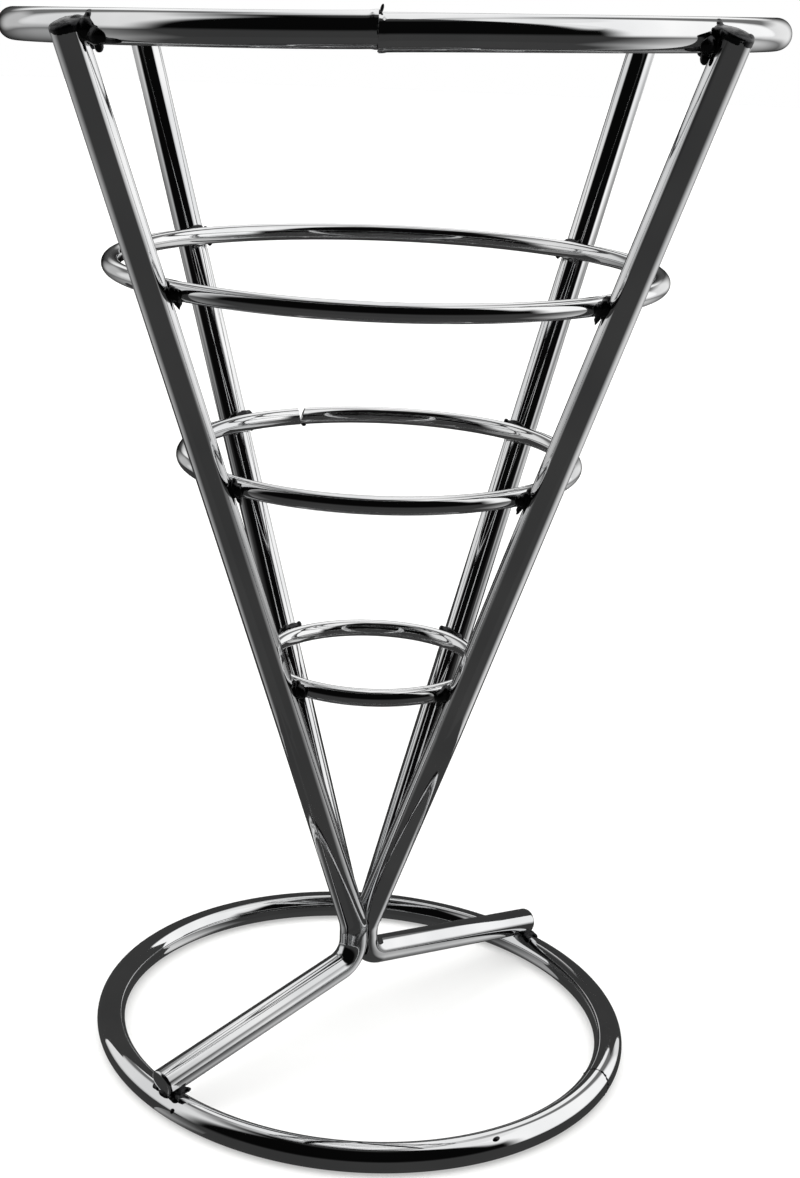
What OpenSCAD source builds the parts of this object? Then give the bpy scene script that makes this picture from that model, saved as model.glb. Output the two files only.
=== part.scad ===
// Wire cone basket: a free-standing holder welded from polished round wire.
// Four sloping wires run down outside three thin hoops, from a thick rim to a bundle on the axis.
// The two front ones turn there and lie as feet on the base ring.
// Origin: centre of the base ring, on the table. +Z up, the seen side faces -Y. Millimetres.

/* [Wire] */
// Diameter of the wire of the rim, the four sloping wires and the base ring
frame_wire = 5; // [4.6:0.1:5.4]
// Diameter of the wire of the three hoops inside
hoop_wire = 3; // [2.6:0.1:3.4]
// Depth to which a weld sinks one wire into the next
weld_sink = 0.3; // [0.2:0.05:0.4]

/* [Cone] */
// Outside diameter of the rim
rim_d = 125; // [122:0.5:128]
// Height of the rim wire's centre above the table
rim_z = 179.2; // [176:0.1:182]
// Height of the tip in which the cone of the rim and the hoops would end
tip_z = 23.7; // [23.5:0.05:23.9]
// Lean of the rim, welded on slightly out of level
rim_tilt = 1.9; // [0:0.1:2]
// Direction of the rim's highest point
rim_tilt_az = -44; // [-60:1:-30]
// Place of the upper hoop between the tip and the rim
upper_hoop_part = 0.754; // [0.7:0.002:0.8]
// Place of the middle hoop between the tip and the rim
middle_hoop_part = 0.548; // [0.5:0.002:0.6]
// Place of the lower hoop between the tip and the rim
lower_hoop_part = 0.311; // [0.3:0.001:0.33]

/* [Sloping wires] */
// Height of the wires' upper ends above the middle of the rim's wire
top_rise = 0.5; // [0:0.1:0.6]
// Direction of the front left leg at the rim
front_left_top_az = -136.9; // [-139:0.1:-134]
// Direction of the front left leg at the lower hoop
front_left_low_az = -133.3; // [-135:0.1:-131]
// Direction of the front right leg at the rim
front_right_top_az = -44; // [-47:0.1:-42]
// Direction of the front right leg at the lower hoop
front_right_low_az = -49; // [-51:0.1:-47]
// Direction of the back left upright at the rim
back_left_top_az = 135.3; // [133:0.1:138]
// Direction of the back left upright at the lower hoop
back_left_low_az = 135.4; // [134.5:0.1:136.5]
// Direction of the back right upright at the rim
back_right_top_az = 43; // [41:0.1:46]
// Direction of the back right upright at the lower hoop
back_right_low_az = 45.6; // [45:0.1:46.5]
// Height at which the back left upright is cut off
back_left_end_z = 25; // [24.6:0.1:25.4]
// Height at which the back right upright is cut off
back_right_end_z = 21; // [20.6:0.1:21.4]
// Radius of the weld bead that joins the two back uprights
bead_r = 1.7; // [1.5:0.1:1.9]

/* [Legs] */
// Height below the lower hoop at which the legs start to turn towards the bundle
knee_drop = 7; // [6:0.5:9]
// Sideways place of the front left leg's upright end
drop_x = -1.6; // [-1.8:0.1:-1.4]
// Place of that end from front to back
drop_y = -5.6; // [-5.8:0.1:-5.4]
// Direction from the left leg's upright end to the right leg's
drop_az = 65.7; // [64:0.1:68]
// Height at which the left leg turns upright
left_drop_z = 24.2; // [23.8:0.1:24.6]
// Height at which the right leg turns upright
right_drop_z = 22; // [21.8:0.1:22.4]
// Height at which the left leg turns outwards as a foot
left_foot_z = 17.4; // [17:0.1:17.6]
// Height at which the right leg turns outwards as a foot
right_foot_z = 16.4; // [16:0.1:16.6]
// Bend radius of the turns into the upright ends
drop_r = 8; // [7:0.5:9]
// Bend radius of the turns into the feet
foot_r = 4.5; // [4:0.1:4.8]
// Direction of the left foot
left_foot_az = -135.8; // [-138:0.1:-134]
// Direction of the right foot
right_foot_az = 43.7; // [42:0.1:46]
// Length by which the left foot passes the middle of the base ring's wire
left_foot_past = 2.2; // [1.8:0.1:2.4]
// Length by which the right foot passes it
right_foot_past = 1.4; // [1:0.1:2.4]

/* [Base] */
// Mean outside diameter of the base ring
base_d = 97.4; // [94:0.1:100]
// Amount by which the base ring is longer and shorter than round, each way from the centre
base_oval = 1.4; // [0.2:0.1:2]
// Direction in which the base ring is longest
base_oval_az = -56.7; // [-70:0.1:-40]

/* [Hidden] */
$fn = 96;
rim_r = rim_d / 2 - frame_wire / 2;
base_r = base_d / 2 - frame_wire / 2;
cone_h = rim_z - tip_z;
slope = rim_r / cone_h;
half_angle = atan(slope);
upper_hoop_z = tip_z + upper_hoop_part * cone_h;
middle_hoop_z = tip_z + middle_hoop_part * cone_h;
lower_hoop_z = tip_z + lower_hoop_part * cone_h;
// Distance between the axes of an upright and a hoop, level
stand_off = (frame_wire / 2 + hoop_wire / 2 - weld_sink) / cos(half_angle);
// Balls this much over the wire's radius close the joints between straights and bends
ball_r = frame_wire / 2 + 0.01;
// The oval ring is four quarter bends, and their centres lie this far out
oval_shift = 2 * base_oval / (2 - sqrt(2));
drop_left = [drop_x, drop_y];
drop_right = drop_left + (frame_wire - weld_sink) * [cos(drop_az), sin(drop_az)];
foot_z = frame_wire * 1.5 - weld_sink;
steel = [0.78, 0.79, 0.8];

function unit(v) = v / norm(v);
function cone_r(z) = rim_r - (rim_z - z) * slope;
function polar(az, r, z) = [r * cos(az), r * sin(az), z];
// Point on an upright's axis, at direction az and height z
function on_wall(az, z) = polar(az, cone_r(z) + stand_off, z);
// Height of the rim's centre line in a direction
function rim_at(az) = rim_z + rim_r * tan(rim_tilt) * cos(az - rim_tilt_az);
// Point at height z on the line through a and b
function at_height(a, b, z) = a + (b - a) * (z - a.z) / (b.z - a.z);
// Upper end and lower hoop point of an upright's straight axis
function wall_line(top_az, low_az) = [
    on_wall(top_az, rim_at(top_az) + top_rise),
    on_wall(low_az, lower_hoop_z)
];
function line_point(line, z) = at_height(line[0], line[1], z);
// Point where a leg leaves the cone and turns towards the bundle
function knee(line) = line_point(line, lower_hoop_z - knee_drop);
// End of a foot on the base ring, past the middle of its wire
function foot_end(from, az, past) =
    let (on_ring = polar(az, base_r - base_oval, foot_z))
    on_ring + past * unit(on_ring - from);

front_left = wall_line(front_left_top_az, front_left_low_az);
front_right = wall_line(front_right_top_az, front_right_low_az);
back_left = wall_line(back_left_top_az, back_left_low_az);
back_right = wall_line(back_right_top_az, back_right_low_az);

// Straight piece of round wire from a to b
module rod(a, b, d) {
    v = b - a;
    translate(a)
    rotate([0, acos(v.z / norm(v)), atan2(v.y, v.x)])
    cylinder(d = d, h = norm(v));
}

// Bend of radius r at corner p, coming in along u and leaving along w
module bend(p, u, w, r, d) {
    n = unit(w - (w * u) * u);
    k = cross(u, n);
    c = p - u * r * tan(acos(u * w) / 2) + n * r;
    multmatrix([
        [-n.x, u.x, k.x, c.x],
        [-n.y, u.y, k.y, c.y],
        [-n.z, u.z, k.z, c.z],
        [0, 0, 0, 1]
    ])
    rotate_extrude(angle = acos(u * w))
    translate([r, 0])
    circle(d = d);
}

module ball(p) {
    translate(p)
    sphere(r = ball_r);
}

// Frame wire through the points p, with the bend radius r[i] at each inner point p[i]
// A radius of zero is a slight kink
module bent_wire(p, r) {
    last = len(p) - 1;
    dir = [for (i = [0:last - 1]) unit(p[i + 1] - p[i])];
    // Length of straight wire that the bend at each point takes up
    cut = [for (i = [0:last])
        r[i] == 0 ? 0 : r[i] * tan(acos(dir[i - 1] * dir[i]) / 2)];
    for (i = [0:last - 1])
        rod(p[i] + dir[i] * cut[i], p[i + 1] - dir[i] * cut[i + 1], frame_wire);
    for (i = [1:last - 1]) {
        ball(p[i] - dir[i - 1] * cut[i]);
        if (r[i] > 0) {
            ball(p[i] + dir[i] * cut[i]);
            bend(p[i], dir[i - 1], dir[i], r[i], frame_wire);
        }
    }
}

module ring(r, d) {
    rotate_extrude()
    translate([r, 0])
    circle(d = d);
}

module rim() {
    translate([0, 0, rim_z])
    rotate([0, 0, rim_tilt_az])
    rotate([0, -rim_tilt, 0])
    ring(rim_r, frame_wire);
}

module back_left_wire() {
    rod(line_point(back_left, back_left_end_z), back_left[0], frame_wire);
}

module back_right_wire() {
    rod(line_point(back_right, back_right_end_z), back_right[0], frame_wire);
}

// Thin hoop, notched where the four wires are welded on outside
module hoop(z) {
    color(steel)
    difference() {
        translate([0, 0, z])
        ring(cone_r(z), hoop_wire);
        for (line = [front_left, front_right])
            rod(line[0], knee(line), frame_wire);
        back_left_wire();
        back_right_wire();
    }
}

module left_leg_wire() {
    turn = [drop_left.x, drop_left.y, left_drop_z];
    corner = [drop_left.x, drop_left.y, left_foot_z];
    bent_wire([
        front_left[0],
        knee(front_left),
        turn,
        corner,
        foot_end(corner, left_foot_az, left_foot_past)
    ], [0, 0, drop_r, foot_r, 0]);
}

module right_leg_wire() {
    turn = [drop_right.x, drop_right.y, right_drop_z];
    corner = [drop_right.x, drop_right.y, right_foot_z];
    bent_wire([
        front_right[0],
        knee(front_right),
        turn,
        corner,
        foot_end(corner, right_foot_az, right_foot_past)
    ], [0, 0, drop_r, foot_r, 0]);
}

// Base ring, a slightly oval ring of four quarter bends
module base_wire() {
    tight_r = base_r + base_oval - oval_shift;
    flat_r = base_r - base_oval + oval_shift;
    translate([0, 0, frame_wire / 2])
    rotate([0, 0, base_oval_az])
    for (i = [0:3])
        rotate([0, 0, 90 * i - 45])
        translate(i % 2 == 0
            ? oval_shift / sqrt(2) * [1, 1, 0]
            : -oval_shift / sqrt(2) * [1, 1, 0])
        rotate_extrude(angle = 90)
        translate([i % 2 == 0 ? tight_r : flat_r, 0])
        circle(d = frame_wire);
}

module rim_ring() {
    color(steel)
    rim();
}

module upper_hoop() {
    hoop(upper_hoop_z);
}

module middle_hoop() {
    hoop(middle_hoop_z);
}

module lower_hoop() {
    hoop(lower_hoop_z);
}

module base_ring() {
    color(steel)
    base_wire();
}

module front_left_leg() {
    color(steel)
    difference() {
        left_leg_wire();
        rim();
        base_wire();
    }
}

module front_right_leg() {
    color(steel)
    difference() {
        right_leg_wire();
        rim();
        base_wire();
        left_leg_wire();
    }
}

module back_right_upright() {
    color(steel)
    difference() {
        back_right_wire();
        rim();
        right_leg_wire();
    }
}

// The back left upright stops short, and a weld bead on its end reaches the back right one
module back_left_upright() {
    end = line_point(back_left, back_left_end_z);
    color(steel)
    difference() {
        union() {
            back_left_wire();
            translate(end + frame_wire / 2 * [0.9, 0.2, 0])
            sphere(r = bead_r);
        }
        rim();
        back_right_wire();
        right_leg_wire();
    }
}

rim_ring();
upper_hoop();
middle_hoop();
lower_hoop();
base_ring();
front_left_leg();
front_right_leg();
back_left_upright();
back_right_upright();
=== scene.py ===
import math
import random

import bpy
from mathutils import Matrix, Vector


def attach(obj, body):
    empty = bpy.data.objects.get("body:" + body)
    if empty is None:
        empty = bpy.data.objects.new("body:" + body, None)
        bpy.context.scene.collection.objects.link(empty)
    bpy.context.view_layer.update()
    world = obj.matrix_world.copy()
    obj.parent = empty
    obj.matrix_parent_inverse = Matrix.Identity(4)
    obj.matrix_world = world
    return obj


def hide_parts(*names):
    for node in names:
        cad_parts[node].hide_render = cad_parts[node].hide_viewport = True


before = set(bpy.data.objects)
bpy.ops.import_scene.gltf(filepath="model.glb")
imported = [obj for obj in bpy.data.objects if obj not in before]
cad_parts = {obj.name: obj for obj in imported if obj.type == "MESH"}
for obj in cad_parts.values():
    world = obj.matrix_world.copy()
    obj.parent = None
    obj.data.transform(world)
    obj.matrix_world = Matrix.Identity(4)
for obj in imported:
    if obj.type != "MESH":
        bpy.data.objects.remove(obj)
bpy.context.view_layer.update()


# Camera
# A portrait view a little from above, at the place from which the photograph was taken.
# The picture is 800 by 1178, and the lens is stated for the long side.
FOCAL_PX = 2039.3
PICTURE_HEIGHT_PX = 1178
CAMERA_PLACE = Vector((-0.008158, -0.338012, 0.189228))
CAMERA_PITCH = 17.061
CAMERA_YAW = 2.132
CAMERA_ROLL = 2.341


# Where the camera stands, pitched down, turned to the right and a little rolled, in degrees.
def aim(place, pitch, yaw, roll):
    pitch, yaw, roll = (math.radians(a) for a in (pitch, yaw, roll))
    ahead = Vector((math.sin(yaw) * math.cos(pitch), math.cos(yaw) * math.cos(pitch), -math.sin(pitch)))
    right = Vector((math.cos(yaw), -math.sin(yaw), 0))
    up = right.cross(ahead)
    across = math.cos(roll) * right + math.sin(roll) * up
    upward = -math.sin(roll) * right + math.cos(roll) * up
    stand = Matrix((across, upward, -ahead)).transposed().to_4x4()
    stand.translation = place
    return stand


lens = bpy.data.cameras.new("camera")
lens.sensor_fit = "VERTICAL"
lens.sensor_height = 36
lens.lens = FOCAL_PX / PICTURE_HEIGHT_PX * 36
lens.clip_start = 0.01
camera = bpy.data.objects.new("camera", lens)
bpy.context.scene.collection.objects.link(camera)
camera.matrix_world = aim(CAMERA_PLACE, CAMERA_PITCH, CAMERA_YAW, CAMERA_ROLL)
bpy.context.scene.camera = camera


# Rim
# One hoop of 5 mm steel wire, rolled round and butt-welded at the front, then chrome plated.
# It leans 1.9 degrees, and its two ends meet with a small step under a ridge of plated weld.

# An sRGB hex code as a linear colour.
def linear(code):
    parts = [int(code[i : i + 2], 16) / 255 for i in (1, 3, 5)]
    return [p / 12.92 if p <= 0.04045 else ((p + 0.055) / 1.055) ** 2.4 for p in parts] + [1.0]


# Adds a node: settings go to its properties or its inputs' own values, links come from other nodes.
def add(tree, kind, settings=(), links=()):
    made = tree.nodes.new(kind)
    for name, value in dict(settings).items():
        if isinstance(name, str) and hasattr(made, name):
            setattr(made, name, value)
        else:
            made.inputs[name].default_value = value
    for name, source in dict(links).items():
        tree.links.new(source, made.inputs[name])
    return made


CLOUD_MM = 22
GRIT_MM = 1.5


# Bright chrome over polished steel wire: a neutral, faintly clouded mirror. Under it the drawing
# and bending of the wire leave slow waves, and handling leaves a light haze. The grit is drawn
# at 1.5 mm, coarser than the real one, so that it shows.
def chrome(name, wave_mm, wave_depth, haze):
    made = bpy.data.materials.new(name)
    made.use_nodes = True
    tree = made.node_tree
    tree.nodes.clear()
    where = add(tree, "ShaderNodeTexCoord").outputs["Object"]
    cloud = add(tree, "ShaderNodeTexNoise", {"Scale": 1000 / CLOUD_MM, "Detail": 3}, {"Vector": where})
    tint = add(tree, "ShaderNodeValToRGB", {}, {"Fac": cloud.outputs["Fac"]})
    tint.color_ramp.elements[0].position = 0.35
    tint.color_ramp.elements[0].color = linear("#D0D1D2")
    tint.color_ramp.elements[1].position = 0.7
    tint.color_ramp.elements[1].color = linear("#E4E4E4")
    grit = add(tree, "ShaderNodeTexNoise", {"Scale": 1000 / GRIT_MM, "Detail": 4, "Roughness": 0.7},
               {"Vector": where})
    rough = add(tree, "ShaderNodeMapRange",
                {"From Min": 0.3, "From Max": 0.8, "To Min": haze, "To Max": haze * 2.2},
                {"Value": grit.outputs["Fac"]})
    waves = add(tree, "ShaderNodeTexNoise", {"Scale": 1000 / wave_mm, "Detail": 1.5}, {"Vector": where})
    bump = add(tree, "ShaderNodeBump", {"Strength": 1.0, "Distance": wave_depth / 1000},
               {"Height": waves.outputs["Fac"]})
    shader = add(tree, "ShaderNodeBsdfPrincipled", {"Metallic": 1.0},
                 {"Base Color": tint.outputs["Color"], "Roughness": rough.outputs["Result"],
                  "Normal": bump.outputs["Normal"]})
    add(tree, "ShaderNodeOutputMaterial", {}, {"Surface": shader.outputs["BSDF"]})
    return made


thick_chrome = chrome("chrome_plated_frame_wire", 9, 0.02, 0.03)


# An empty tree with named inputs and one named result.
def new_tree(name, inputs, result):
    tree = bpy.data.node_groups.new(name, "GeometryNodeTree")
    for title, kind in inputs:
        tree.interface.new_socket(title, in_out="INPUT", socket_type="NodeSocket" + kind)
    tree.interface.new_socket(result, in_out="OUTPUT", socket_type="NodeSocketGeometry")
    return tree, add(tree, "NodeGroupInput").outputs


# The end of every tree: smooth shading, real geometry, and its plating.
def plate(tree, shape, plating, result):
    smooth = add(tree, "GeometryNodeSetShadeSmooth", {}, {"Geometry": shape})
    real = add(tree, "GeometryNodeRealizeInstances", {}, {"Geometry": smooth.outputs["Geometry"]})
    plated = add(tree, "GeometryNodeSetMaterial", {},
                 {"Geometry": real.outputs["Geometry"], "Material": plating})
    add(tree, "NodeGroupOutput", {}, {result: plated.outputs["Geometry"]})


# Round wire swept along a path, with the path's own radius as its thickness at each point.
def wire_tree():
    tree, given = new_tree(
        "drawn_wire",
        (("Path", "Geometry"), ("Wire radius", "Float"), ("Sides", "Int"), ("Plating", "Material")),
        "Wire",
    )
    section = add(tree, "GeometryNodeCurvePrimitiveCircle", {},
                  {"Resolution": given["Sides"], "Radius": given["Wire radius"]})
    thickness = add(tree, "GeometryNodeInputRadius")
    swept = add(tree, "GeometryNodeCurveToMesh", {"Fill Caps": True},
                {"Curve": given["Path"], "Profile Curve": section.outputs["Curve"],
                 "Scale": thickness.outputs["Radius"]})
    plate(tree, swept.outputs["Mesh"], given["Plating"], "Wire")
    return tree


# Runs a node tree on an object and gives the result as a plain mesh object.
def finished(name, base, tree, values):
    bpy.context.scene.collection.objects.link(base)
    maker = base.modifiers.new("maker", "NODES")
    maker.node_group = tree
    for port in tree.interface.items_tree:
        if port.in_out == "INPUT" and port.name in values:
            maker[port.identifier] = values[port.name]
    bpy.context.view_layer.update()
    result = base.evaluated_get(bpy.context.evaluated_depsgraph_get())
    mesh = bpy.data.meshes.new_from_object(result)
    base.modifiers.remove(maker)
    bpy.data.objects.remove(base)
    made = bpy.data.objects.new(name, mesh)
    bpy.context.scene.collection.objects.link(made)
    return made


drawn_wire = wire_tree()
WIRE_SIDES = 48


# A wire along the points, in millimetres, each with its own thickness as a part of the full one.
def wire(name, points, thickness, closed, wire_mm, plating, stands_for):
    path = bpy.data.curves.new(name + "_path", "CURVE")
    path.dimensions = "3D"
    line = path.splines.new("POLY")
    line.points.add(len(points) - 1)
    for point, place, thick in zip(line.points, points, thickness):
        point.co = (*(Vector(place) / 1000), 1)
        point.radius = thick
    line.use_cyclic_u = closed
    base = bpy.data.objects.new(name + "_base", path)
    made = finished(name, base, drawn_wire,
                    {"Wire radius": wire_mm / 2000, "Sides": WIRE_SIDES, "Plating": plating})
    bpy.data.curves.remove(path)
    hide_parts(stands_for)
    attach(made, "root")
    return made


# A point from its azimuth in degrees, its radius and its height.
def polar(azimuth, radius, height):
    a = math.radians(azimuth)
    return Vector((radius * math.cos(a), radius * math.sin(a), height))


RIM_MEAN = 60
RIM_Z = 179.2
RIM_LEAN = 1.9
RIM_HIGH = -44
FRAME_WIRE = 5
lean = (Matrix.Translation((0, 0, RIM_Z)) @ Matrix.Rotation(math.radians(RIM_HIGH), 4, "Z")
        @ Matrix.Rotation(math.radians(-RIM_LEAN), 4, "Y"))


def on_rim(azimuth, radius=RIM_MEAN, rise=0):
    return lean @ polar(azimuth - RIM_HIGH, radius, rise)


# Chrome over weld metal: the plating follows every ripple, so it is duller than the wire.
# Its much darker colour is painted shade, standing in for the dark look of the welds.
def weld_chrome(name):
    made = chrome(name, 0.9, 0.05, 0.2)
    for node in made.node_tree.nodes:
        if node.type == "VALTORGB":
            # painted shade: near-black tones, far darker than any chrome
            node.color_ramp.elements[0].color = linear("#1C1C1D")
            node.color_ramp.elements[1].color = linear("#454546")
    return made


weld_chrome_painted_dark = weld_chrome("chrome_weld_with_painted_shade")


# Beads of squeezed-out weld metal: a ball at each point, stretched along its own direction.
# Beads that touch are fused into one lump, eased where they meet, and made uneven.
def weld_tree():
    tree, given = new_tree(
        "weld_beads",
        (("Beads", "Geometry"), ("Grain", "Float"), ("Unevenness", "Float"), ("Lumps per metre", "Float"),
         ("Seed", "Float"), ("Plating", "Material")),
        "Weld",
    )
    ball = add(tree, "GeometryNodeMeshIcoSphere", {"Radius": 1.0, "Subdivisions": 4})
    wide = add(tree, "GeometryNodeInputNamedAttribute", {"data_type": "FLOAT", "Name": "bead_width"})
    long = add(tree, "GeometryNodeInputNamedAttribute", {"data_type": "FLOAT", "Name": "bead_length"})
    way = add(tree, "GeometryNodeInputNamedAttribute", {"data_type": "FLOAT_VECTOR", "Name": "bead_along"})
    size = add(tree, "ShaderNodeCombineXYZ", {},
               {"X": wide.outputs[0], "Y": wide.outputs[0], "Z": long.outputs[0]})
    turned = add(tree, "FunctionNodeAlignRotationToVector", {"axis": "Z"}, {"Vector": way.outputs[0]})
    placed = add(tree, "GeometryNodeInstanceOnPoints", {},
                 {"Points": given["Beads"], "Instance": ball.outputs["Mesh"],
                  "Rotation": turned.outputs["Rotation"], "Scale": size.outputs["Vector"]})
    real = add(tree, "GeometryNodeRealizeInstances", {}, {"Geometry": placed.outputs["Instances"]})
    band = add(tree, "ShaderNodeMath", {"operation": "MULTIPLY", 1: 2.0}, {0: given["Grain"]})
    solid = add(tree, "GeometryNodeMeshToVolume", {"resolution_mode": "VOXEL_SIZE", "Density": 1.0},
                {"Mesh": real.outputs["Geometry"], "Voxel Size": given["Grain"],
                 "Interior Band Width": band.outputs[0]})
    skin = add(tree, "GeometryNodeVolumeToMesh", {"resolution_mode": "VOXEL_SIZE", "Threshold": 0.1},
               {"Volume": solid.outputs["Volume"], "Voxel Size": given["Grain"]})
    even = add(tree, "GeometryNodeBlurAttribute", {"data_type": "FLOAT_VECTOR", "Iterations": 4},
               {"Value": add(tree, "GeometryNodeInputPosition").outputs[0]})
    fused = add(tree, "GeometryNodeSetPosition", {},
                {"Geometry": skin.outputs["Mesh"], "Position": even.outputs["Value"]})
    lumps = add(tree, "ShaderNodeTexNoise", {"noise_dimensions": "4D", "Detail": 2},
                {"Vector": add(tree, "GeometryNodeInputPosition").outputs[0], "W": given["Seed"],
                 "Scale": given["Lumps per metre"]})
    above = add(tree, "ShaderNodeMath", {"operation": "SUBTRACT", 1: 0.5}, {0: lumps.outputs["Fac"]})
    depth = add(tree, "ShaderNodeMath", {"operation": "MULTIPLY"},
                {0: above.outputs[0], 1: given["Unevenness"]})
    push = add(tree, "ShaderNodeVectorMath", {"operation": "SCALE"},
               {0: add(tree, "GeometryNodeInputNormal").outputs[0], "Scale": depth.outputs[0]})
    uneven = add(tree, "GeometryNodeSetPosition", {},
                 {"Geometry": fused.outputs["Geometry"], "Offset": push.outputs["Vector"]})
    plate(tree, uneven.outputs["Geometry"], given["Plating"], "Weld")
    return tree


weld_beads = weld_tree()


# Each bead: its middle, the direction it runs in, and half its width and length, in millimetres.
def weld(name, beads, seed, grain_mm=0.16, uneven=0.3, lump_mm=1.2):
    points = bpy.data.meshes.new(name + "_points")
    points.from_pydata([b[0] / 1000 for b in beads], [], [])
    for kind, title, values in (("FLOAT", "bead_width", [b[2] / 1000 for b in beads]),
                                ("FLOAT", "bead_length", [b[3] / 1000 for b in beads])):
        points.attributes.new(title, kind, "POINT").data.foreach_set("value", values)
    ways = [c for b in beads for c in b[1].normalized()]
    points.attributes.new("bead_along", "FLOAT_VECTOR", "POINT").data.foreach_set("vector", ways)
    made = finished(name, bpy.data.objects.new(name + "_base", points), weld_beads,
                    {"Grain": grain_mm / 1000, "Unevenness": uneven / 1000,
                     "Lumps per metre": 1000 / lump_mm, "Seed": seed, "Plating": weld_chrome_painted_dark})
    bpy.data.meshes.remove(points)
    for title in ("bead_width", "bead_length", "bead_along"):
        if title in made.data.attributes:
            made.data.attributes.remove(made.data.attributes[title])
    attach(made, "root")


# A ring of flash round a wire, where two ends were pressed together.
def flash_ring(middle, along, radius, width, slant=0.0, beads=22):
    side = along.cross(Vector((0, 0, 1))).normalized()
    up = side.cross(along)
    ring = []
    for k in range(beads):
        a = 2 * math.pi * k / beads
        out = math.cos(a) * side + math.sin(a) * up
        place = middle + out * radius + along * (slant * math.sin(a) + chance.uniform(-0.12, 0.12))
        ring.append((place, along.cross(out), width * chance.uniform(0.7, 1.3), 2.6 * radius / beads * 1.4))
    return ring


# The two ends stand a little above and below each other at the joint, and the step fades away from it.
# The ridge is a part of the wire's thickness, and its reach and edge are in degrees.
JOINT_AT = -93.4
JOINT_STEP = 0.22
JOINT_STEP_FADES = 9
JOINT_OVERLAP = 0.05
RIDGE = 0.04
RIDGE_REACH = 0.75
RIDGE_EDGE = 0.09
chance = random.Random(3)
close_turns = [0, 0.15, 0.3, 0.45, 0.6, 0.75, 0.9, 1.1, 1.4, 1.8, 2.4]
rim_turns = close_turns + list(range(3, 358)) + [360 - t for t in reversed(close_turns)]
rim_points = []
rim_thick = []
for t in rim_turns:
    off = min(t, 360 - t)
    step = JOINT_STEP * math.exp(-off / JOINT_STEP_FADES) * (1 if t < 180 else -1)
    past = -JOINT_OVERLAP if t == 0 else JOINT_OVERLAP if t == 360 else 0
    rim_points.append(on_rim(JOINT_AT + t + past, RIM_MEAN, -step))
    rim_thick.append(1 + RIDGE / (1 + math.exp((min(off, 5) - RIDGE_REACH) / RIDGE_EDGE)))
wire("rim", rim_points, rim_thick, False, FRAME_WIRE, thick_chrome, "rim_ring")

along_joint = (on_rim(JOINT_AT + 1) - on_rim(JOINT_AT - 1)).normalized()
flash = flash_ring(on_rim(JOINT_AT), along_joint, FRAME_WIRE / 2 + 0.06, 0.16)
spike_place = on_rim(JOINT_AT + 0.35, RIM_MEAN + 0.3, FRAME_WIRE / 2 + 0.35)
flash.append((spike_place, Vector((0.25, -0.1, 1)), 0.26, 0.75))
weld("rim_joint_weld", flash, 11, grain_mm=0.07, uneven=0.1, lump_mm=0.6)


# Hoops
# Three rings of 3 mm chrome-plated wire inside the sloping wires, each butt-welded at its ends.
# The middle one shows its joint at the back left, as a narrow notch with a drop of weld under it.
thin_chrome = chrome("chrome_plated_hoop_wire", 7, 0.02, 0.035)
TIP_Z = 23.7
HOOP_WIRE = 3
cone_h = RIM_Z - TIP_Z
slope = RIM_MEAN / cone_h
HOOP_SHARES = {"upper": 0.754, "middle": 0.548, "lower": 0.311}
hoop_heights = {which: TIP_Z + share * cone_h for which, share in HOOP_SHARES.items()}


def cone_r(z):
    return (z - TIP_Z) * slope


# The middle hoop's two ends were cut aslant: they touch below and gape above, in a V that runs
# across the wire. Heights and depths are parts of the wire's radius, and the rest is in degrees.
HOOP_JOINT_AT = 115.3
JOINT_GAP = 0.1
JOINT_REACH = 6
GAPE_FROM = -0.3
GAPE_LEFT = 0.75
GAPE_RIGHT = 1.4
GAPE_SLANT = 1.04


def gaping(ring, mean, z):
    for face in ring.data.polygons:
        face.use_smooth = len(face.vertices) == 4
    for corner in ring.data.vertices:
        turn = math.degrees(math.atan2(corner.co.y, corner.co.x)) - HOOP_JOINT_AT
        if abs(turn) < JOINT_REACH:
            high = (corner.co.z * 1000 - z) / (HOOP_WIRE / 2)
            deep = (math.hypot(corner.co.x, corner.co.y) * 1000 - mean) / (HOOP_WIRE / 2)
            gape = GAPE_LEFT if turn > 0 else -GAPE_RIGHT
            gape *= max(0, (high - GAPE_FROM) / (1 - GAPE_FROM))
            share = (JOINT_REACH - abs(turn)) / (JOINT_REACH - JOINT_GAP)
            moved = math.radians((gape - GAPE_SLANT * deep) * share)
            corner.co = Matrix.Rotation(moved, 4, "Z") @ corner.co


HOOP_STEPS = 240
for which, z in hoop_heights.items():
    gap = JOINT_GAP if which == "middle" else 0
    count = HOOP_STEPS + 1 if gap else HOOP_STEPS
    turns = [HOOP_JOINT_AT + gap + (360 - 2 * gap) * i / HOOP_STEPS for i in range(count)]
    ring = [polar(a, cone_r(z), z) for a in turns]
    made = wire(which + "_hoop_ring", ring, [1] * count, not gap, HOOP_WIRE, thin_chrome, which + "_hoop")
    if gap:
        gaping(made, cone_r(z), z)
joint = polar(HOOP_JOINT_AT, cone_r(hoop_heights["middle"]), hoop_heights["middle"])
drop_of_weld = (joint + Vector((0.65, -0.4, -1.3)), polar(HOOP_JOINT_AT + 90, 1, 0), 0.45, 0.5)
weld("middle_hoop_joint_weld", [drop_of_weld], 12, grain_mm=0.07, uneven=0.1)


# Base ring
# A hoop of the same 5 mm chrome-plated wire that lies on the table, sprung slightly oval.
# Its butt weld, at the front right, was dressed nearly flat, and two specks of spatter stayed on it.
BASE_MEAN = 46.2
BASE_OVAL = 1.4
BASE_OVAL_AT = -56.7
BASE_STEPS = 300


def on_base(azimuth, rise=0, out=0):
    bulge = BASE_OVAL * math.cos(math.radians(2 * (azimuth - BASE_OVAL_AT)))
    return polar(azimuth, BASE_MEAN + bulge + out, FRAME_WIRE / 2 + rise)


base_points = [on_base(i * 360 / BASE_STEPS) for i in range(BASE_STEPS)]
wire("base_ring_wire", base_points, [1] * BASE_STEPS, True, FRAME_WIRE, thick_chrome, "base_ring")

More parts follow.
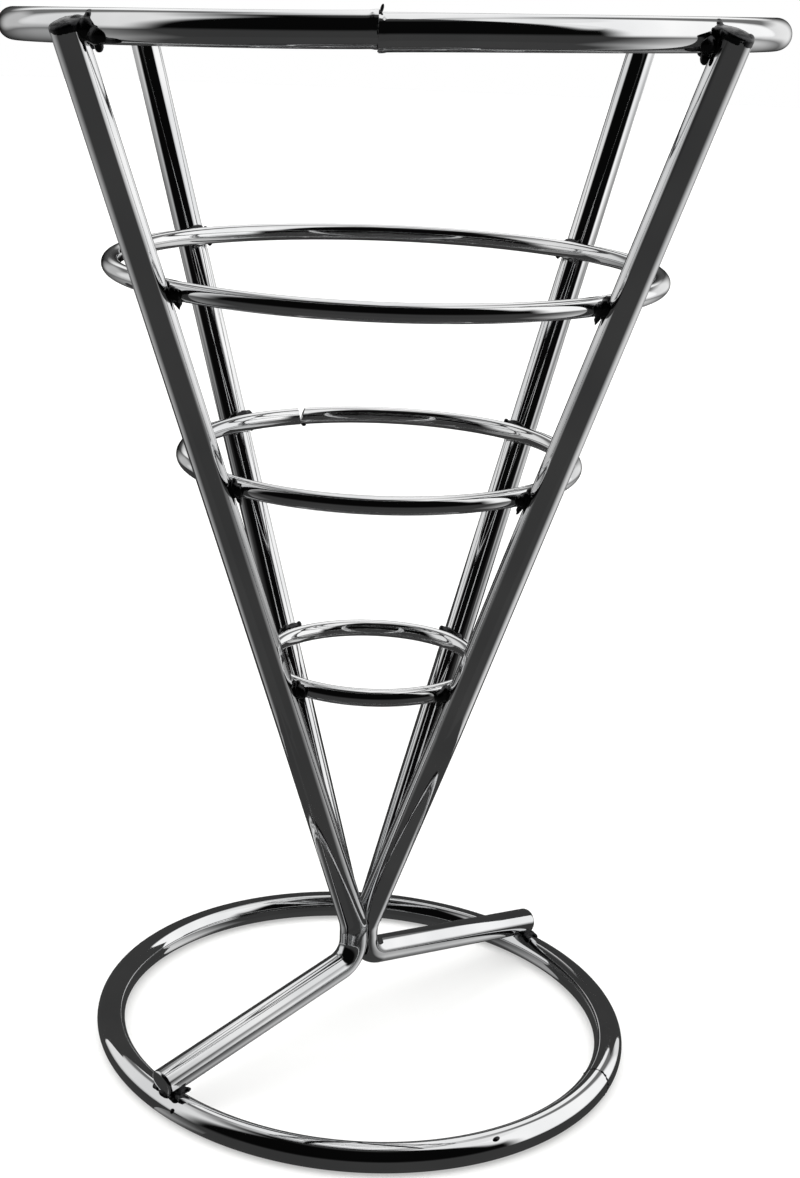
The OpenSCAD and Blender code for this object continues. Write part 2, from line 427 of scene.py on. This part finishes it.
SEAM_AT = -28.6
along_seam = (on_base(SEAM_AT + 1) - on_base(SEAM_AT - 1)).normalized()
seam = flash_ring(on_base(SEAM_AT), along_seam, FRAME_WIRE / 2 - 0.02, 0.17, slant=0.8)
seam = [b for b in seam if b[0].z > 0.4]
seam.append((on_base(-62.9, 1.95, 1.55), Vector((1, 0.6, 0.2)), 0.4, 0.75))
seam.append((on_base(-131.9, 0.7, 2.35), Vector((0.3, -0.3, 1)), 0.4, 0.6))
weld("base_ring_weld", seam, 13, grain_mm=0.07, uneven=0.1, lump_mm=0.6)


# Legs and uprights
# Four 5 mm chrome-plated wires that run straight down outside the hoops, cropped square and plated over
# at their ends. Below the lower hoop the front two bend to the axis, drop side by side and turn into feet.
WELD_SINK = 0.3
TOP_RISE = 0.5
stand_off = (FRAME_WIRE / 2 + HOOP_WIRE / 2 - WELD_SINK) / math.cos(math.atan(slope))


def on_wall(azimuth, z):
    return polar(azimuth, cone_r(z) + stand_off, z)


# A straight wire, by its azimuth at the rim and at the lower hoop.
def wall_line(top, low):
    high = RIM_Z + RIM_MEAN * math.tan(math.radians(RIM_LEAN)) * math.cos(math.radians(top - RIM_HIGH))
    return on_wall(top, high + TOP_RISE), on_wall(low, hoop_heights["lower"])


def at_height(line, z):
    a, b = line
    return a + (b - a) * (z - a.z) / (b.z - a.z)


# The straight parts get a point every few millimetres, so that the shading stays true between the bends.
def filled(points, gap=5):
    full = [points[0]]
    for a, b in zip(points, points[1:]):
        n = max(1, math.ceil((b - a).length / gap))
        full += [a + (b - a) * k / n for k in range(1, n + 1)]
    return full


# Points along corners joined by arcs of the given radii, about every three degrees.
def bent(corners, radii):
    points = [corners[0]]
    for i in range(1, len(corners) - 1):
        into = (corners[i] - corners[i - 1]).normalized()
        out = (corners[i + 1] - corners[i]).normalized()
        turn = into.angle(out)
        r = radii[i]
        back = corners[i] - into * r * math.tan(turn / 2)
        side = (out - out.dot(into) * into).normalized()
        n = max(6, int(math.degrees(turn) / 3))
        for k in range(n + 1):
            a = turn * k / n
            points.append(back + into * r * math.sin(a) + side * r * (1 - math.cos(a)))
    points.append(corners[-1])
    return filled(points)


# Both ends were cropped, then worn: distance from the end, and thickness there as a part of the full one.
CROPPED_END = ((0.0, 0.02), (0.002, 0.5), (0.004, 0.86), (0.06, 0.93), (0.18, 0.98), (0.35, 1.0), (0.7, 1.0))


def cropped(points):
    into = (points[1] - points[0]).normalized()
    out = (points[-2] - points[-1]).normalized()
    first = [points[0] + into * s for s, _ in CROPPED_END]
    last = [points[-1] + out * s for s, _ in reversed(CROPPED_END)]
    thick = [t for _, t in CROPPED_END]
    return first + points[1:-1] + last, thick + [1] * (len(points) - 2) + thick[::-1]


front_left = wall_line(-136.9, -133.3)
front_right = wall_line(-44, -49)
back_left = wall_line(135.3, 135.4)
back_right = wall_line(43, 45.6)
BACK_LEFT_END_Z = 25
BACK_RIGHT_END_Z = 21
KNEE_Z = hoop_heights["lower"] - 7
BENDS = [0, 30, 8, 4.5, 0]
LEFT_TURN_Z = 24.2
LEFT_FOOT_Z = 17.4
LEFT_FOOT_AT = -135.8
LEFT_FOOT_PAST = 2.2
RIGHT_TURN_Z = 22
RIGHT_FOOT_Z = 16.4
RIGHT_FOOT_AT = 43.7
RIGHT_FOOT_PAST = 1.4
drop_left = Vector((-1.6, -5.6, 0))
drop_right = drop_left + polar(65.7, FRAME_WIRE - WELD_SINK, 0)


# Where a foot's axis crosses the base ring.
def foot_seat(azimuth):
    return polar(azimuth, BASE_MEAN - BASE_OVAL, FRAME_WIRE * 1.5 - WELD_SINK)


# From the rim to the knee, in to the axis, down to the foot's corner, and past the base ring.
def leg(line, drop, turn_z, foot_z, foot_at, past):
    turn = Vector((drop.x, drop.y, turn_z))
    corner = Vector((drop.x, drop.y, foot_z))
    seat = foot_seat(foot_at)
    end = seat + (seat - corner).normalized() * past
    return bent([line[0], at_height(line, KNEE_Z), turn, corner, end], BENDS)


left_leg = leg(front_left, drop_left, LEFT_TURN_Z, LEFT_FOOT_Z, LEFT_FOOT_AT, LEFT_FOOT_PAST)
right_leg = leg(front_right, drop_right, RIGHT_TURN_Z, RIGHT_FOOT_Z, RIGHT_FOOT_AT, RIGHT_FOOT_PAST)
left_upright = filled([back_left[0], at_height(back_left, BACK_LEFT_END_Z)])
right_upright = filled([back_right[0], at_height(back_right, BACK_RIGHT_END_Z)])
for name, points, node in (
    ("front_left_wire", left_leg, "front_left_leg"),
    ("front_right_wire", right_leg, "front_right_leg"),
    ("back_left_wire", left_upright, "back_left_upright"),
    ("back_right_wire", right_upright, "back_right_upright"),
):
    path, thick = cropped(points)
    wire(name, path, thick, False, FRAME_WIRE, thick_chrome, node)


# Hoop welds
# Resistance welds where each hoop crosses each upright, twelve in all. The wires sink into each other
# by 0.3 mm, and the metal that this squeezes out stands round the crossing in lumps and small spikes.
HOOP_CONTACT = 1.35
UPRIGHTS = {"front_left": front_left, "front_right": front_right,
            "back_left": back_left, "back_right": back_right}
hoop_beads = []
for side, line in UPRIGHTS.items():
    near = side.startswith("front")
    inner = 1 if side.endswith("left") == near else -1
    up = (line[0] - line[1]).normalized()
    for z in hoop_heights.values():
        axis = at_height(line, z)
        azimuth = math.degrees(math.atan2(axis.y, axis.x))
        hoop = polar(azimuth, cone_r(z), z)
        out = (axis - hoop).normalized()
        round_hoop = polar(azimuth + 90, 1, 0)
        contact = hoop + out * HOOP_CONTACT
        # one bead above the crossing and one below it
        for vertical, thick, reach in ((1, 0.62, 1.75), (-1, 0.75, 1.6)):
            place = contact + up * vertical * 1.3 + round_hoop * chance.uniform(-0.35, 0.35)
            hoop_beads.append((place, round_hoop + up * chance.uniform(-0.15, 0.15), thick, reach))
        # one lump and one smaller drop on each side of the upright
        for across in (1, -1):
            place = contact + round_hoop * across * 2.05 + out * 0.35 + up * chance.uniform(-0.3, 0.3)
            wide = 0.8 * chance.uniform(0.9, 1.15)
            hoop_beads.append((place, up, wide, 1.45 * chance.uniform(0.85, 1.15)))
            drop = contact + round_hoop * across * chance.uniform(1.5, 2.3) - out * 0.2
            drop += up * chance.choice((1.35, -1.45))
            way = up + round_hoop * chance.uniform(-0.6, 0.6)
            hoop_beads.append((drop, way, 0.5, chance.uniform(0.6, 0.9)))
        # at the front, more metal on the side towards the middle, with a spike that hangs from it
        if near:
            place = contact + round_hoop * inner * 2.75 + out * 0.2 - up * 0.35
            hoop_beads.append((place, up + round_hoop * inner * 0.3, 0.75, 1.25))
            for below, wide, long in ((1.75, 0.52, 0.8), (2.3, 0.3, 0.75)):
                spike = contact + round_hoop * inner * 2.3 + out * 0.3 - up * below
                hoop_beads.append((spike, up - round_hoop * inner * 0.15, wide, long))
weld("hoop_welds", hoop_beads, 21)


# Rim welds
# The wires' upper ends are welded to the outside of the rim, with a fillet down each side of each wire.
# At the two front wires it is thickest on the side towards the middle, and runs up over the rim.

# A place on or off the rim's wire, as radius and rise, from an angle round the wire and a distance.
def spoke(turn, deep):
    return RIM_MEAN + deep * math.cos(math.radians(turn)), deep * math.sin(math.radians(turn))


rim_beads = []
for side, line in UPRIGHTS.items():
    up = (line[0] - line[1]).normalized()
    azimuth = math.degrees(math.atan2(line[0].y, line[0].x))
    middle = on_rim(azimuth)
    out = (line[0] - middle).normalized()
    round_rim = polar(azimuth + 90, 1, 0)
    for across in (1, -1):
        groove = middle + out * 2.05 + round_rim * across * 2.3
        rim_beads.append((groove - up * 0.9, up, 0.8, 2.0))
        if side.startswith("back"):
            tail = groove - up * 2.6 - out * 0.6
            rim_beads.append((tail, up - out * 0.3, 0.5, chance.uniform(0.9, 1.4)))
    rim_beads.append((middle + out * 0.9 - up * 2.7, round_rim, 0.85, 2.1))

# Upright beads that climb over the rim at the front left and the front right, each by its azimuth,
# the angle round the rim's wire, the distance from that wire's middle, and half its width and length.
for at, turn, deep, wide, long in (
    (-134.6, -10, 2.3, 1.6, 1.7),
    (-136.2, 2, 2.6, 1.5, 1.5),
    (-134.7, 25, 2.05, 0.8, 1.2),
    (-135.1, 50, 2.05, 0.7, 0.8),
    (-136.0, 70, 1.95, 0.68, 0.5),
    (-136.9, 88, 1.85, 0.75, 0.5),
    (-133.2, -62, 3.1, 0.7, 0.9),
    (-45.0, -10, 2.3, 1.7, 1.8),
    (-43.6, -4, 2.5, 1.5, 1.6),
    (-44.3, 25, 2.05, 0.8, 1.2),
    (-43.6, 50, 2.05, 0.65, 0.8),
    (-42.5, 72, 1.95, 0.66, 0.5),
    (-41.0, 86, 1.85, 0.85, 0.5),
    (-46.5, -66, 3.5, 0.7, 1.0),
):
    rim_beads.append((on_rim(at, *spoke(turn, deep)), Vector((0, 0, 1)), wide, long))

# Beads that run along the rim's lower side, given in the same way.
for at, turn, deep, wide, long in (
    (-133.1, -32, 2.25, 1.4, 1.9),
    (-131.0, -50, 2.25, 0.65, 2.7),
    (-46.5, -34, 2.2, 1.4, 1.7),
    (-48.8, -50, 2.25, 0.6, 2.7),
):
    rim_beads.append((on_rim(at, *spoke(turn, deep)), polar(at + 90, 1, 0), wide, long))

# Caps of weld over the front wires' cropped ends.
for line in (front_left, front_right):
    up = (line[0] - line[1]).normalized()
    for below, wide, long in ((0.15, 2.56, 0.6), (0.5, 2.58, 0.9), (1.0, 2.55, 1.5)):
        rim_beads.append((line[0] - up * below, up, wide, long))
up = (front_right[0] - front_right[1]).normalized()
rim_beads.append((front_right[0] + Vector((1.9, 0, 0)) - up * 1.0, up, 0.8, 1.0))
weld("rim_welds", rim_beads, 22, uneven=0.12, lump_mm=1.8)


# Foot welds
# Each foot lies across the base ring and is resistance-welded to it. The squeezed-out metal is plated
# over and stands in a lump on both sides of the foot, and under its end.
foot_beads = []
for drop, corner_z, foot_at in ((drop_left, LEFT_FOOT_Z, LEFT_FOOT_AT),
                                (drop_right, RIGHT_FOOT_Z, RIGHT_FOOT_AT)):
    seat = foot_seat(foot_at)
    run = (seat - Vector((drop.x, drop.y, corner_z))).normalized()
    beside = run.cross(Vector((0, 0, 1))).normalized()
    for across in (1, -1):
        low = seat + beside * across * 1.95 - Vector((0, 0, 2.1))
        lump = low + run * 1.1 + beside * across * 0.7 - Vector((0, 0, 0.25))
        tail = low - run * 1.5 + beside * across * 0.5
        foot_beads.append((low, run, 0.95, 1.9))
        foot_beads.append((lump, beside, 0.7, 0.95))
        foot_beads.append((tail, run + beside * 0.4, 0.55, 0.9))
    foot_beads.append((seat + run * 1.3 - Vector((0, 0, 2.3)), beside, 0.8, 1.7))
weld("foot_welds", foot_beads, 23)


# Bundle welds
# The four wires come together on the axis, and weld metal fills the grooves between them
# and closes the ends of the two back uprights.
groove = (drop_right - drop_left).normalized()
outward = groove.cross(Vector((0, 0, 1)))
between = (drop_left + drop_right) / 2
bundle_beads = []
for z, reach in ((24.4, 1.9), (21.4, 2.0), (18.6, 1.5)):
    for across in (1.5, -1.5):
        place = between + outward * across + Vector((0, 0, z)) + groove * chance.uniform(-0.15, 0.15)
        bundle_beads.append((place, Vector((0, 0, 1)) + groove * chance.uniform(-0.1, 0.1), 0.72, reach))
for line, z in ((back_left, BACK_LEFT_END_Z), (back_right, BACK_RIGHT_END_Z)):
    end = at_height(line, z)
    up = (line[0] - line[1]).normalized()
    inwards = between + Vector((0, 0, end.z)) - end
    bundle_beads.append((end + up * 0.2, up, 2.25, 1.5))
    bundle_beads.append((end + up * 0.6 + inwards * 0.35, up, 1.0, 1.4))
weld("bundle_welds", bundle_beads, 24, uneven=0.2)


# Stage
# A floor and a round backdrop of pale paper, which the wires don't mirror. They mirror a studio instead:
# a dark room in front, tall soft boxes at the sides, a white wall behind, a dark card behind the base ring,
# and painted shade on the table round it.

# Matt paper that takes a share of the light, as lit, and gives off a share by itself, as glow.
def paper(name, code, lit, glow):
    made = bpy.data.materials.new(name)
    made.use_nodes = True
    tree = made.node_tree
    tree.nodes.clear()
    matt = [c * lit for c in linear(code)[:3]] + [1.0]
    sheet = add(tree, "ShaderNodeBsdfPrincipled",
                {"Base Color": matt, "Roughness": 1.0, "Specular IOR Level": 0.0,
                 "Emission Color": linear(code), "Emission Strength": glow})
    add(tree, "ShaderNodeOutputMaterial", {}, {"Surface": sheet.outputs["BSDF"]})
    return made


bpy.ops.mesh.primitive_circle_add(vertices=96, radius=3, fill_type="NGON")
floor = bpy.context.active_object
floor.name = "floor"
floor.data.materials.append(paper("pale_floor_paper", "#F6F6F5", 0.5, 0.5))
floor.visible_glossy = False
bpy.ops.mesh.primitive_cylinder_add(vertices=96, radius=2.9, depth=8, end_fill_type="NOTHING",
                                    location=(0, 0, 3.9))
backdrop = bpy.context.active_object
backdrop.name = "backdrop"
backdrop.data.materials.append(paper("pale_backdrop_paper", "#FFFFFF", 0, 1))
backdrop.visible_glossy = False
backdrop.visible_diffuse = False
backdrop.visible_shadow = False

# The soft top light only lights the paper.
sun = bpy.data.lights.new("top_light", "SUN")
sun.energy = 3.9
sun.angle = math.radians(70)
top_light = bpy.data.objects.new("top_light", sun)
bpy.context.scene.collection.objects.link(top_light)
top_light.rotation_euler = (math.radians(12), math.radians(-8), 0)
top_light.visible_glossy = False

# Dark cards that only the wires mirror, in metres: a low wall behind the base ring, lower on its right,
# and a flat ring on the table round it, open under the end of the left foot. The flat ring is painted
# shade: a dark sheet that stands in for the table's shade round the base ring.
# Dark grey for the wall card and for the painted shade on the table.
CARD_AND_TABLE_SHADE_CODE = "#404040"
WALL_Y = 0.075
WALL_OUTLINE = ((-0.15, -0.06), (0.11, -0.06), (0.11, 0.058), (0.003, 0.058), (0.003, 0.088), (-0.15, 0.088))
TABLE_SHADE_RADII = (0.0465, 0.075)
TABLE_SHADE_Z = -0.0003
TABLE_SHADE_STEPS = 72
TABLE_SHADE_OPEN = range(44, 47)
table_shade_turns = [math.radians(i * 360 / TABLE_SHADE_STEPS) for i in range(TABLE_SHADE_STEPS)]
table_shade_corners = [(r * math.cos(a), r * math.sin(a), TABLE_SHADE_Z)
                for a in table_shade_turns for r in TABLE_SHADE_RADII]
last = 2 * TABLE_SHADE_STEPS
table_shade_faces = [(2 * i, 2 * i + 1, (2 * i + 3) % last, (2 * i + 2) % last)
              for i in range(TABLE_SHADE_STEPS) if i not in TABLE_SHADE_OPEN]
for name, corners, faces in (
    ("dark_wall_card", [(x, WALL_Y, z) for x, z in WALL_OUTLINE], [tuple(range(len(WALL_OUTLINE)))]),
    # painted shade: the flat dark ring stands in for the table's shade round the base ring
    ("painted_table_shade", table_shade_corners, table_shade_faces),
):
    card_mesh = bpy.data.meshes.new(name)
    card_mesh.from_pydata(corners, [], faces)
    card_mesh.materials.append(paper(name + "_paper", CARD_AND_TABLE_SHADE_CODE, 0, 1))
    card = bpy.data.objects.new(name, card_mesh)
    bpy.context.scene.collection.objects.link(card)
    card.visible_camera = False
    card.visible_diffuse = False
    card.visible_shadow = False

# What the wires mirror, by direction: azimuth from the camera's side, and height above the horizon.
# Each patch: azimuth from and to, height from and to, softness of the sides and of the ends, brightness.
PATCHES = (
    (62, 138, -8, 64, 6, 9, 1.25),
    (54, 130, 26, 84, 5, 10, 1.1),
    (-138, -76, -6, 58, 9, 12, 0.95),
    (157, 203, 13, 95, 4, 5, 1.15),
    (130, 230, 58, 95, 28, 12, 1.0),
    (88, 148, -52, -12, 33, 9, 0.85),
    (-150, -92, -50, -10, 34, 10, 0.45),
    (100, 260, 10, 60, 10, 14, 0.2),
    (206, 260, -10, 20, 8, 6, 0.6),
    (120, 160, -10, 18, 8, 6, 0.95),
    (-185, 185, -95, -40, 1, 8, 0.06),
    (-120, 120, -95, -5, 30, 9, 0.052),
    (-95, 95, 74, 95, 10, 6, 0.05),
)
DARKEST = 0.003
world = bpy.data.worlds.new("studio")
bpy.context.scene.world = world
world.use_nodes = True
sky = world.node_tree
sky.nodes.clear()


# The peak value within a band of angles, easing to nothing over its soft edges.
def soft_band(distance, low, high, soft, peak):
    return add(sky, "ShaderNodeMapRange",
               {"interpolation_type": "SMOOTHSTEP", "From Min": math.radians((high - low) / 2 + soft),
                "From Max": math.radians((high - low) / 2 - soft), "To Min": 0, "To Max": peak},
               {"Value": distance.outputs[0]})


looking = add(sky, "ShaderNodeTexCoord").outputs["Generated"]
ray = add(sky, "ShaderNodeSeparateXYZ", {}, {"Vector": looking}).outputs
ahead = add(sky, "ShaderNodeMath", {"operation": "MULTIPLY", 1: -1}, {0: ray["Y"]})
turned = add(sky, "ShaderNodeMath", {"operation": "ARCTAN2"}, {0: ray["X"], 1: ahead.outputs[0]})
height = add(sky, "ShaderNodeMath", {"operation": "ARCSINE"}, {0: ray["Z"]})
room = add(sky, "ShaderNodeValue")
room.outputs[0].default_value = DARKEST
for a0, a1, h0, h1, side_soft, end_soft, bright in PATCHES:
    # how far the direction is from the patch's middle, sideways (wrapped to a half turn) and in height
    off = add(sky, "ShaderNodeMath", {"operation": "SUBTRACT", 1: math.radians((a0 + a1) / 2)},
              {0: turned.outputs[0]})
    near = add(sky, "ShaderNodeMath", {"operation": "WRAP", 1: math.pi, 2: -math.pi}, {0: off.outputs[0]})
    away = add(sky, "ShaderNodeMath", {"operation": "ABSOLUTE"}, {0: near.outputs[0]})
    within = soft_band(away, a0, a1, side_soft, bright)
    rise = add(sky, "ShaderNodeMath", {"operation": "SUBTRACT", 1: math.radians((h0 + h1) / 2)},
               {0: height.outputs[0]})
    beyond = add(sky, "ShaderNodeMath", {"operation": "ABSOLUTE"}, {0: rise.outputs[0]})
    inside = soft_band(beyond, h0, h1, end_soft, 1)
    patch = add(sky, "ShaderNodeMath", {"operation": "MULTIPLY"},
                {0: within.outputs["Result"], 1: inside.outputs["Result"]})
    room = add(sky, "ShaderNodeMath", {"operation": "MAXIMUM"}, {0: room.outputs[0], 1: patch.outputs[0]})
glow = add(sky, "ShaderNodeBackground", {}, {"Color": room.outputs[0]})
add(sky, "ShaderNodeOutputWorld", {}, {"Surface": glow.outputs["Background"]})
bpy.context.scene.view_settings.view_transform = "Standard"
